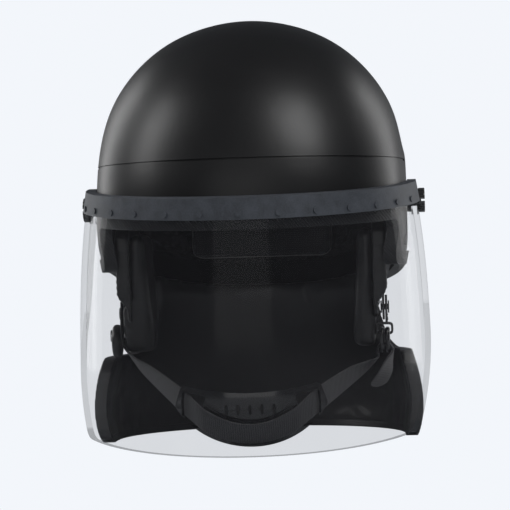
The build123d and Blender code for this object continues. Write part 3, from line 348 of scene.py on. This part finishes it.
LEATHER = leather("padded_leather", (0.009, 0.009, 0.0095), (0.028, 0.027, 0.028), 0.27, 620.0)
GUARD = leather("guard_leather", (0.012, 0.0115, 0.012), (0.03, 0.029, 0.031), 0.3, 900.0)
BINDING = leather("binding_leather", (0.008, 0.008, 0.009), (0.022, 0.021, 0.023), 0.34, 800.0)
KNIT = knit()
FOAM = foam()
WEBBING = webbing()
THREAD = thread()
print("all finishes", len(bpy.data.materials))

# %% [markdown]
# The rigid pieces already have their true shape and their own smooth and sharp edges, so they keep both
# and only get a finish.

# %% Finishes on the rigid pieces
RIGID = {
    "shell": SHELL,
    "rim_trim": TRIM_PAINTED_SHADE,
    "visor_seal": SEAL,
    "face_shield": SHIELD,
    "seal_rivets": SEAL,
    "harness_rivets": DARK_METAL,
    "anchor_rivets": DARK_METAL,
    "guard_snaps": DARK_METAL,
    "tab_snap": BRIGHT_METAL,
    "ring_inner": ENAMEL,
    "ring_outer": ENAMEL,
    "chin_cup": CUP,
    "impact_liner": FOAM,
    **{f"pivot_stud_{side}": STEEL for side, _ in SIDES},
    **{f"pivot_spacer_{side}": NYLON for side, _ in SIDES},
    **{f"pivot_washer_{side}": NYLON for side, _ in SIDES},
    **{f"pivot_knob_{side}": KNOB for side, _ in SIDES},
}


def finish(piece, material):
    """Gives a piece one finish in every slot."""
    piece.data.materials.clear()
    piece.data.materials.append(material)


for name, material in RIGID.items():
    finish(NODES[name], material)
print("rigid pieces", len(RIGID))

# %% [markdown]
# A new piece is a sheet of points worked out at once with numpy: rows run one way, columns the other.
# One helper joins neighbouring points into faces, closes the sheet into a tube or ring where asked,
# and caps open ends with a single face each.

# %% Surface helpers
def shade_smooth(mesh):
    """Rounds the shading over every face."""
    mesh.polygons.foreach_set("use_smooth", np.ones(len(mesh.polygons), bool))


def grid_mesh(name, points, uv=None, closed_rows=False, closed_columns=False, caps=False):
    """Mesh from an array of points (rows, columns, 3); each face joins a point to the next ones."""
    rows, columns = points.shape[:2]
    index = np.arange(rows * columns).reshape(rows, columns)
    down = np.roll(index, -1, 0) if closed_rows else index[1:]
    here = index if closed_rows else index[:-1]
    quads = np.stack([here, down, np.roll(down, -1, 1), np.roll(here, -1, 1)], -1)
    quads = quads if closed_columns else quads[:, :-1]
    faces = quads.reshape(-1, 4).tolist()
    if caps:
        faces += [index[0].tolist(), index[-1][::-1].tolist()]
    mesh = bpy.data.meshes.new(name)
    mesh.from_pydata(points.reshape(-1, 3).tolist(), [], faces)
    if uv is not None:
        layer = mesh.uv_layers.new(name="along")
        corners = np.zeros(len(mesh.loops), np.int32)
        mesh.loops.foreach_get("vertex_index", corners)
        layer.data.foreach_set("uv", uv.reshape(-1, 2)[corners].ravel())
    mesh.validate()
    work = bmesh.new()
    work.from_mesh(mesh)
    bmesh.ops.recalc_face_normals(work, faces=work.faces)
    work.to_mesh(mesh)
    work.free()
    shade_smooth(mesh)
    return add_object(name, mesh)


def unit(vectors):
    """Each vector divided by its length."""
    return vectors / np.linalg.norm(vectors, axis=-1, keepdims=True)


def smooth_path(stations, count):
    """Evenly spaced points and directions on a curve through the stations (Catmull-Rom pieces)."""
    table = np.array(stations, float)
    table = np.vstack([2 * table[0] - table[1], table, 2 * table[-1] - table[-2]])
    share = np.linspace(0, len(table) - 3 - 1e-9, 40 * len(table))
    start = share.astype(int)
    t = (share - start)[:, None]
    before, first, second, after = (table[start + step] for step in range(4))
    bend = 0.5 * (2 * first + (second - before) * t + (2 * before - 5 * first + 4 * second - after) * t**2)
    bend += 0.5 * (3 * first - before - 3 * second + after) * t**3
    length = np.r_[0, np.cumsum(np.linalg.norm(np.diff(bend[:, :3], axis=0), axis=1))]
    even = np.linspace(0, length[-1], count)
    return np.stack([np.interp(even, length, column) for column in bend.T], -1), even


# %% [markdown]
# A strap is a flat section carried along a path. Its stations give a point and the direction of the
# strap's width there, the same numbers that the model's straps use. The section is a rounded oblong, so
# the selvedges catch the light, and its UV map runs in metres so that the weave has one scale everywhere.

# %% Straps
STRAP_WIDTH = 17.0 * MM
STRAP_THICK = 1.6 * MM
AROUND = 20
EDGE_POWER = 0.35
FACE_POWER = 0.6
TIP_SHARE = 0.02


def squared(wave, power):
    """A cosine or sine pushed out towards 1 and -1, which makes a circle a rounded oblong."""
    return np.sign(wave) * np.abs(wave) ** power


def woven(name, frames, along, width, narrow, body, nodes, **closing):
    """Point = centre + across * width/2 * c + up * thickness/2 * s, with (c, s) on a squared circle."""
    centre, across, up = frames
    turn = np.linspace(0, 2 * np.pi, AROUND, endpoint=False)
    wide = squared(np.cos(turn), EDGE_POWER)
    thick = squared(np.sin(turn), FACE_POWER)
    points = centre[:, None] + across[:, None] * (wide[:, None] * width / 2) * narrow[:, None, None]
    points = points + up[:, None] * (thick[:, None] * STRAP_THICK / 2)
    uv = np.zeros((len(centre), AROUND, 2))
    uv[..., 0] = along[:, None]
    uv[..., 1] = wide * width / 2
    piece = grid_mesh(name, points, uv, closed_columns=True, **closing)
    finish(piece, WEBBING)
    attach(piece, body)
    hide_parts(*nodes)
    return piece


def strap(name, stations, body, nodes, count, width=STRAP_WIDTH, tip=0.0):
    """Open strap through its stations; a tip rounds off the last end over that length."""
    path, even = smooth_path(stations, count)
    centre = path[:, :3] * MM
    across = unit(path[:, 3:])
    up = unit(np.cross(across, unit(np.gradient(centre, axis=0))))
    narrow = np.ones(count)
    if tip:
        left = np.clip((even[-1] - even) * MM / tip, 0, 1)
        narrow = np.sqrt(np.clip(1 - (1 - left) ** 2, TIP_SHARE, 1))
    print(name, "length mm", round(even[-1], 1))
    return woven(name, (centre, across, up), even * MM, width, narrow, body, nodes, caps=True)


def mirrored(stations, sign):
    """The same stations on the left (1) or right (-1) of the helmet."""
    flip = np.array([sign, 1, 1, sign, 1, 1])
    return np.array(stations) * flip


FRONT_RUN = (
    (100.3, -27.3, 14.8, 0.15, 0.99, 0.0),
    (98.9, -27.1, 4.6, 0.15, 0.99, 0.0),
    (94.8, -28.0, -1.0, 0.0, 1.0, 0.0),
    (90.5, -28.0, -12.0, 0.0, 1.0, 0.0),
    (89.0, -28.0, -29.5, 0.0, 1.0, 0.0),
    (89.0, -28.0, -46.5, 0.0, 1.0, 0.0),
)
REAR_RUN = (
    (99.2, 32.1, 12.1, -0.2, 0.54, -0.82),
    (99.7, 23.6, 6.4, -0.2, 0.54, -0.82),
    (94.7, 14.2, -1.3, 0.0, 0.56, -0.83),
    (92.5, 5.0, -7.5, 0.0, 0.56, -0.83),
    (87.1, -18.0, -23.0, 0.0, 0.56, -0.83),
)
for side, sign in SIDES:
    strap(f"front_strap_{side}", mirrored(FRONT_RUN, sign), "helmet", [f"harness_front_{side}"], count=60)
    strap(f"rear_strap_{side}", mirrored(REAR_RUN, sign), "helmet", [f"harness_rear_{side}"], count=60)

# %% [markdown]
# The chin strap starts at the tab on one side, passes behind the cup's end bar, comes out through its
# slot, lies over the front of the cup and goes back the same way to the rings. Its route over the cup is
# the cup's own spheroid, a little outside it, so the strap hugs the plastic without touching it.

# %% Chin strap, tail and the loop of the rings
RIGHT_RUN = (
    (-90.9, -28.0, -29.5, 0.0, 1.0, 0.0),
    (-90.9, -28.0, -57.0, 0.0, 1.0, 0.0),
    (-82.0, -36.0, -70.5, 0.0, 0.92, -0.4),
    (-68.0, -52.0, -80.5, 0.0, 0.62, -0.78),
    (-44.1, -81.2, -97.2, 0.0, 0.17, -0.99),
    (-37.5, -88.5, -102.3, 0.0, 0.3, -0.95),
)
LEFT_RUN = (
    (37.5, -88.5, -102.3, 0.0, 0.3, -0.95),
    (44.1, -81.2, -97.2, 0.0, 0.17, -0.99),
    (64.0, -53.5, -84.5, 0.0, 0.62, -0.78),
    (77.0, -36.5, -77.5, 0.0, 0.92, -0.4),
    (84.2, -28.0, -72.6, 0.0, 1.0, 0.0),
    (84.2, -28.0, -69.4, 0.0, 1.0, 0.0),
)

CUP_MIDDLE = (-62.0, -94.0)
CUP_RADIUS = 38.4
CUP_HALF_LENGTH = 63.4
CUP_DIP = 38.0
LEVEL_AT = 51.0


def over_cup(out):
    """Station on the cup's front: distance out along X gives the dip below level and the radius."""
    dip = math.radians(CUP_DIP * (1 - (out / LEVEL_AT) ** 2))
    radius = CUP_RADIUS * math.sqrt(1 - (out / CUP_HALF_LENGTH) ** 2)
    point = (out, CUP_MIDDLE[0] - radius * math.cos(dip), CUP_MIDDLE[1] - radius * math.sin(dip))
    return (*point, 0.0, math.sin(dip), -math.cos(dip))


FRONT_OF_CUP = tuple(over_cup(out) for out in np.linspace(-31.5, 31.5, 13))
strap("chin_webbing", RIGHT_RUN + FRONT_OF_CUP + LEFT_RUN, "chin_harness", ["chin_strap"], count=320)

ANCHOR_X, ANCHOR_Y = 89.4, -28.0
BEND_RADIUS = 5.2
TAIL_BEND_HEIGHT = -67.8


def round_bars(angle):
    """Station of the tail where it turns round the rings' straight bars, seen from the front."""
    x = ANCHOR_X + BEND_RADIUS * math.sin(angle)
    z = TAIL_BEND_HEIGHT + BEND_RADIUS * math.cos(angle)
    return (x, ANCHOR_Y, z, 0.0, 1.0, 0.0)


TURN_ROUND = tuple(round_bars(angle) for angle in np.radians(range(-90, 91, 30)))
TAIL = (
    (84.2, -28.0, -69.1, 0.0, 1.0, 0.0),
    *TURN_ROUND,
    (91.5, -31.0, -75.0, 0.32, 0.95, 0.0),
    (88.5, -36.5, -83.0, 0.57, 0.82, 0.0),
    (82.5, -41.5, -92.0, 0.71, 0.71, 0.0),
)
strap("tail_webbing", TAIL, "chin_harness", ["strap_tail"], count=120, tip=5.0 * MM)

LOOP_LOW, LOOP_HIGH = -56.3, -49.3
LOOP_WIDTH = 16.0 * MM
LOOP_POWER = 0.45
LOOP_POINTS = 48


def ring_loop():
    """Folded loop: a rounded oblong ring seen from the front, below the tongue."""
    turn = np.linspace(0, 2 * np.pi, LOOP_POINTS, endpoint=False)
    middle, half = (LOOP_LOW + LOOP_HIGH) / 2, (LOOP_HIGH - LOOP_LOW) / 2
    x = ANCHOR_X + BEND_RADIUS * squared(np.cos(turn), LOOP_POWER)
    z = middle + half * squared(np.sin(turn), LOOP_POWER)
    centre = np.stack([x, np.full_like(x, ANCHOR_Y), z], -1) * MM
    following = np.roll(centre, -1, 0)
    across = np.tile([0.0, 1.0, 0.0], (LOOP_POINTS, 1))
    up = np.cross(across, unit(following - np.roll(centre, 1, 0)))
    along = np.r_[0, np.cumsum(np.linalg.norm(following - centre, axis=1))[:-1]]
    woven(
        "loop_webbing", (centre, across, up), along, LOOP_WIDTH, np.ones(LOOP_POINTS),
        "chin_harness", ["ring_loop"], closed_rows=True,
    )


ring_loop()
TONGUE = (
    (90.9, ANCHOR_Y, -30.0, 0.0, 1.0, 0.0),
    (90.9, ANCHOR_Y, -40.0, 0.0, 1.0, 0.0),
    (90.9, ANCHOR_Y, -49.5, 0.0, 1.0, 0.0),
)
tongue = strap("loop_tongue", TONGUE, "chin_harness", ["ring_loop"], width=LOOP_WIDTH, count=30)

# %% [markdown]
# The padding. A cushion could be a box with rounded edges, but real foam under cloth swells in the middle
# and is drawn in along its seams. Each pad starts as the model's solid, is wrapped in an even skin of
# small faces, and is then blown up by a short cloth simulation whose movement is capped, as air in a pad.
# The ear flaps and cheek pads are first made fuller where they cover the strap, and the cheek pads' faces
# lean in towards the chin.

# %% Padded pieces
PRESSURE = 4.0
CLOTH_QUALITY = 4
CLOTH_FRAMES = 20


def skin(name, node, voxel):
    """Even skin over a copy of a model solid: its doubles are merged first, then it is wrapped."""
    piece = add_object(name, NODES[node].data.copy())
    work = bmesh.new()
    work.from_mesh(piece.data)
    bmesh.ops.remove_doubles(work, verts=work.verts, dist=1e-5)
    work.to_mesh(piece.data)
    work.free()
    apply(piece, "REMESH", mode="VOXEL", voxel_size=voxel, use_smooth_shade=True)
    return piece


def as_modified(piece):
    """The mesh that the piece's modifiers give."""
    return bpy.data.meshes.new_from_object(piece.evaluated_get(bpy.context.evaluated_depsgraph_get()))


def apply(piece, kind, **settings):
    """Adds one modifier and turns its result into the piece's mesh."""
    modifier = piece.modifiers.new(kind.lower(), kind)
    for key, value in settings.items():
        setattr(modifier, key, value)
    bpy.context.view_layer.update()
    result = as_modified(piece)
    piece.modifiers.clear()
    old = piece.data
    piece.data = result
    bpy.data.meshes.remove(old)


def points_of(mesh):
    """All the vertices of a mesh as one array."""
    flat = np.zeros(len(mesh.vertices) * 3)
    mesh.vertices.foreach_get("co", flat)
    return flat.reshape(-1, 3)


def blow_up(piece, cap):
    """Cloth with inner pressure; no point may end more than cap from where it was."""
    before = points_of(piece.data)
    modifier = piece.modifiers.new("cloth", "CLOTH")
    modifier.settings.use_pressure = True
    modifier.settings.uniform_pressure_force = PRESSURE
    modifier.settings.effector_weights.gravity = 0
    modifier.settings.quality = CLOTH_QUALITY
    for count in range(1, CLOTH_FRAMES + 1):
        bpy.context.scene.frame_set(count)
    move = points_of(as_modified(piece)) - before
    far = np.linalg.norm(move, axis=1, keepdims=True)
    after = before + move * np.minimum(1.0, cap / np.maximum(far, 1e-9))
    piece.modifiers.clear()
    bpy.context.scene.frame_set(1)
    piece.data.vertices.foreach_set("co", after.ravel())
    print(piece.name, "moved mm", round(float(far.max()) / MM, 2), "kept to", cap / MM)


def ease(share):
    """Smooth step from 0 to 1: 3 t^2 - 2 t^3."""
    t = np.clip(share, 0.0, 1.0)
    return t * t * (3.0 - 2.0 * t)


FLAP_SWELL = 6.2
FLAP_FOOT, FLAP_RISE = -36.0, 12.0
FLAP_FACE, FLAP_DEPTH = 83.0, 2.0
LEAN_TOP, LEAN_LOSS, CHEEK_LENGTH = 3.8, 4.8, 68.0
CHEEK_FACE, CHEEK_DEPTH = 78.0, 6.0
TAB_SWELL, RING_SWELL = 6.2, 0.6
STRAP_DROP, STRAP_RUN = 26.0, 10.0
CHEEK_BACK, BACK_DEPTH = 77.0, 4.0


def moved_out(points, move):
    """Points moved away from the middle plane by an array of distances in metres."""
    still = np.zeros_like(move)
    return points + np.stack([np.sign(points[:, 0]) * move, still, still], -1)


def full_flap(points):
    """Outer face out by 6.2 mm above the anchor, so that the strap runs inside the flap's cover."""
    above = ease((points[:, 2] / MM - FLAP_FOOT) / FLAP_RISE)
    outer = ease((np.abs(points[:, 0]) / MM - FLAP_FACE) / FLAP_DEPTH)
    return moved_out(points, FLAP_SWELL * MM * above * outer)


def full_cheek(points):
    """Face side leans in towards the chin; on the tab's side the lower outer face swells to the strap."""
    out = np.abs(points[:, 0]) / MM
    drop = -points[:, 2] / MM
    lean = LEAN_TOP - LEAN_LOSS * np.clip(drop / CHEEK_LENGTH, 0.0, 1.0)
    move = lean * ease((CHEEK_FACE - out) / CHEEK_DEPTH)
    swell = np.where(points[:, 0] < 0, TAB_SWELL, RING_SWELL)
    back = ease((out - CHEEK_BACK) / BACK_DEPTH)
    move = move + swell * ease((drop - STRAP_DROP) / STRAP_RUN) * back
    return moved_out(points, move * MM)


def pad(name, node, material, *, body="helmet", voxel=2.5 * MM, cap=0.0, smooth=3,
        shape=None, finer=1):
    """Soft piece in place of a solid: wrapped, shaped, blown up by at most cap, smoothed and finished."""
    piece = skin(name, node, voxel)
    if shape:
        piece.data.vertices.foreach_set("co", shape(points_of(piece.data)).ravel())
    if cap:
        blow_up(piece, cap)
    apply(piece, "SMOOTH", factor=0.5, iterations=smooth)
    apply(piece, "SUBSURF", levels=finer, render_levels=finer)
    finish(piece, material)
    shade_smooth(piece.data)
    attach(piece, body)
    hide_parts(node)
    print(name, "faces", len(piece.data.polygons))
    return piece


FLAPS = []
pad("crown_cushion", "crown_pad", KNIT, cap=1.0 * MM)
pad("brow_cushion", "brow_pad", KNIT, cap=0.8 * MM)
pad("nape_cushion", "nape_pad", KNIT, cap=0.8 * MM)
for side, _ in SIDES:
    pad(f"side_cushion_{side}", f"side_pad_{side}", KNIT, cap=0.8 * MM)
    pad(
        f"cheek_cushion_{side}", f"cheek_pad_{side}", LEATHER,
        cap=0.8 * MM, voxel=2.0 * MM, shape=full_cheek,
    )
    flap = pad(
        f"ear_flap_skin_{side}", f"ear_flap_{side}", LEATHER,
        voxel=0.9 * MM, smooth=4, shape=full_flap,
    )
    FLAPS.append(flap)
curtain = pad("neck_curtain", "neck_guard", GUARD, voxel=2.6 * MM, cap=1.2 * MM)
pad(
    "curtain_binding", "guard_binding", BINDING,
    voxel=0.8 * MM, smooth=2, finer=0,
)
pad("tab_leather", "strap_tab", LEATHER, body="chin_harness", voxel=0.6 * MM, smooth=2)

# %% [markdown]
# Stitching. A row of stitches could be a bump in the material, but the thread stands out from leather and
# webbing and catches the light, so each stitch is a small spindle. A row is drawn as a path near a piece,
# laid on the piece's nearest surface, and cut into even steps.

# %% Rows of stitches
STITCH = 2.6 * MM
STITCH_STEP = 4.2 * MM
THREAD_THICK = 0.8 * MM
AHEAD = 0.5 * MM
SPINDLE_AT = np.array([-0.5, -0.36, 0.0, 0.36, 0.5])
SPINDLE_ROUND = np.array([0.15, 0.8, 1.0, 0.8, 0.15])


def stitches(name, piece, path, body):
    """Spindle = centre + along * STITCH * u + (side cos v + normal sin v) * radius(u)."""
    found = [piece.closest_point_on_mesh(Vector(point)) for point in path]
    laid = np.array([tuple(hit[1]) for hit in found])
    normals = np.array([tuple(hit[2]) for hit in found])
    length = np.r_[0, np.cumsum(np.linalg.norm(np.diff(laid, axis=0), axis=1))]
    even = np.arange(STITCH_STEP / 2, length[-1], STITCH_STEP)
    centre = np.stack([np.interp(even, length, column) for column in laid.T], -1)
    ahead = np.stack([np.interp(even + AHEAD, length, column) for column in laid.T], -1)
    normal = unit(np.stack([np.interp(even, length, column) for column in normals.T], -1))
    along = unit(ahead - centre + 1e-9)
    side = unit(np.cross(normal, along))
    turn = np.linspace(0, 2 * np.pi, 6, endpoint=False)
    spokes = side[:, None] * np.cos(turn)[None, :, None] + normal[:, None] * np.sin(turn)[None, :, None]
    points = centre[:, None, None] + along[:, None, None] * (SPINDLE_AT * STITCH)[None, :, None, None]
    points = points + spokes[:, None] * (THREAD_THICK / 2 * SPINDLE_ROUND)[None, :, None, None]
    index = np.arange(points.size // 3).reshape(points.shape[:3])
    here, down = index[:, :-1], index[:, 1:]
    quads = np.stack([here, down, np.roll(down, -1, 2), np.roll(here, -1, 2)], -1)
    ends = index[:, 0].tolist() + index[:, -1, ::-1].tolist()
    mesh = bpy.data.meshes.new(name)
    mesh.from_pydata(points.reshape(-1, 3).tolist(), [], quads.reshape(-1, 4)[:, ::-1].tolist() + ends)
    row = add_object(name, mesh)
    shade_smooth(mesh)
    finish(row, THREAD)
    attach(row, body)
    print(name, "stitches", len(centre))


FLATTEN = 1.5


def box_path(x, low, high):
    """Oblong with rounded corners in a plane across X, from (y, z) to (y, z) in mm, as a closed row."""
    turn = np.linspace(0, 2 * np.pi, 120)
    wide, tall = (high[0] - low[0]) / 2, (high[1] - low[1]) / 2
    y = np.clip(FLATTEN * np.cos(turn), -1, 1) * wide
    z = np.clip(FLATTEN * np.sin(turn), -1, 1) * tall
    points = [np.full_like(y, x), y + (low[0] + high[0]) / 2, z + (low[1] + high[1]) / 2]
    return (np.stack(points, -1) * MM).tolist()


FLAP_INSET = 4.5
FLAP_OUTSIDE = 96.0
CURTAIN_ROWS = (-115.0, -118.5)
CURTAIN_REACH, CURTAIN_MIDDLE = 160, 20
for (side, sign), flap in zip(SIDES, FLAPS):
    corners = np.array([tuple(corner) for corner in flap.bound_box]) / MM
    low, high = corners.min(0), corners.max(0)
    edge = box_path(sign * FLAP_OUTSIDE, low[1:] + FLAP_INSET, high[1:] - FLAP_INSET)
    stitches(f"flap_stitching_{side}", flap, edge, "helmet")
for row, height in enumerate(CURTAIN_ROWS):
    ring = np.radians(np.linspace(-112, 112, 260))
    depth = CURTAIN_MIDDLE + CURTAIN_REACH * np.cos(ring)
    path = np.stack([CURTAIN_REACH * np.sin(ring), depth, np.full_like(ring, height)], -1) * MM
    stitches(f"curtain_stitching_{row}", curtain, path.tolist(), "helmet")
loop_box = box_path(100.0, (-33.5, -47.0), (-22.5, -43.5))
stitches("loop_stitching", tongue, loop_box, "chin_harness")

# %% [markdown]
# The stage is a floor that turns up into a backdrop far behind, both in the picture's near-white. The
# lamps stay plain: a key lamp high on the right and a strip high on the left draw the two gleams on the
# shell, a weak broad lamp in front fills the shadows, and two tall lamps behind light the outline.

# %% Floor, backdrop and light
BACKGROUND = (0.895, 0.922, 0.965)
AMBIENT = 0.12
FLOOR_FRONT, BEND_START, BEND_SIZE = -4.0, 2.0, 1.0
WALL_FOOT, WALL_TOP = 1.2, 5.0
HALF_SPAN = 5.0
FLOOR_GAP = 0.0005


def stage_material():
    """Seen straight or through the shield it is the picture's pale tone; other rays meet a matt floor."""
    stage = Shader("pale_stage", Roughness=0.9, Specular_IOR_Level=0.1, Base_Color=(0.5, 0.52, 0.55, 1.0))
    rays = stage.tree.nodes.new("ShaderNodeLightPath")
    through = Value(stage, rays.outputs["Is Transmission Ray"])
    seen = Value(stage, rays.outputs["Is Camera Ray"]).math("MAXIMUM", through)
    glow = stage.node("ShaderNodeEmission", {}, {"Color": (*BACKGROUND, 1.0), "Strength": 1.0})
    matt = Value(stage, stage.surface.outputs[0])
    mixed = stage.node("ShaderNodeMixShader", {}, {0: seen, 1: matt, 2: glow})
    stage.tree.links.new(mixed.socket, stage.tree.nodes["Material Output"].inputs["Surface"])
    return stage.material


def sweep(floor_height):
    """Floor along +Y that bends up through a quarter circle of 1 m radius into a wall."""
    bend = np.linspace(0, math.pi / 2, 12)
    floor = np.linspace(FLOOR_FRONT, BEND_START, 12)
    wall = np.linspace(WALL_FOOT, WALL_TOP, 8)
    curve = BEND_START + BEND_SIZE * np.sin(bend)
    along = np.concatenate([floor, curve, np.full(8, BEND_START + BEND_SIZE)])
    rise = np.concatenate([np.zeros(12), BEND_SIZE * (1.0 - np.cos(bend)), wall])
    across = np.linspace(-HALF_SPAN, HALF_SPAN, 12)
    points = np.zeros((len(along), len(across), 3))
    points[..., 0] = across
    points[..., 1] = along[:, None]
    points[..., 2] = floor_height + rise[:, None]
    piece = grid_mesh("stage_sweep", points)
    finish(piece, stage_material())


def lamp(name, place, size, power):
    """Area lamp that faces the helmet's middle."""
    data = bpy.data.lights.new(name, "AREA")
    data.shape = "RECTANGLE"
    data.size, data.size_y = size
    data.energy = power
    light = add_object(name, data)
    light.location = place
    light.rotation_euler = (Vector((0, 0, 0.02)) - Vector(place)).to_track_quat("-Z", "Y").to_euler()


sweep(CAD_BOX[0][2] - FLOOR_GAP)
lamp("key_right", (0.72, -0.74, 0.98), (0.42, 0.7), 10.0)
lamp("strip_left", (-1.15, -0.2, 0.78), (0.35, 0.8), 8.0)
lamp("fill_front", (-0.1, -1.7, 0.25), (1.2, 0.9), 3.0)
lamp("edge_left", (-0.95, 0.75, 0.25), (0.4, 1.2), 5.0)
lamp("edge_right", (0.95, 0.75, 0.25), (0.4, 1.2), 5.0)

world = bpy.data.worlds.new("studio")
bpy.context.scene.world = world
world.use_nodes = True
world.node_tree.nodes["Background"].inputs["Color"].default_value = (*BACKGROUND, 1.0)
rays = world.node_tree.nodes.new("ShaderNodeLightPath")
strength = world.node_tree.nodes.new("ShaderNodeMath")
strength.operation = "MULTIPLY_ADD"
strength.inputs[1].default_value = 1.0 - AMBIENT
strength.inputs[2].default_value = AMBIENT
world.node_tree.links.new(rays.outputs["Is Camera Ray"], strength.inputs[0])
world.node_tree.links.new(strength.outputs[0], world.node_tree.nodes["Background"].inputs["Strength"])
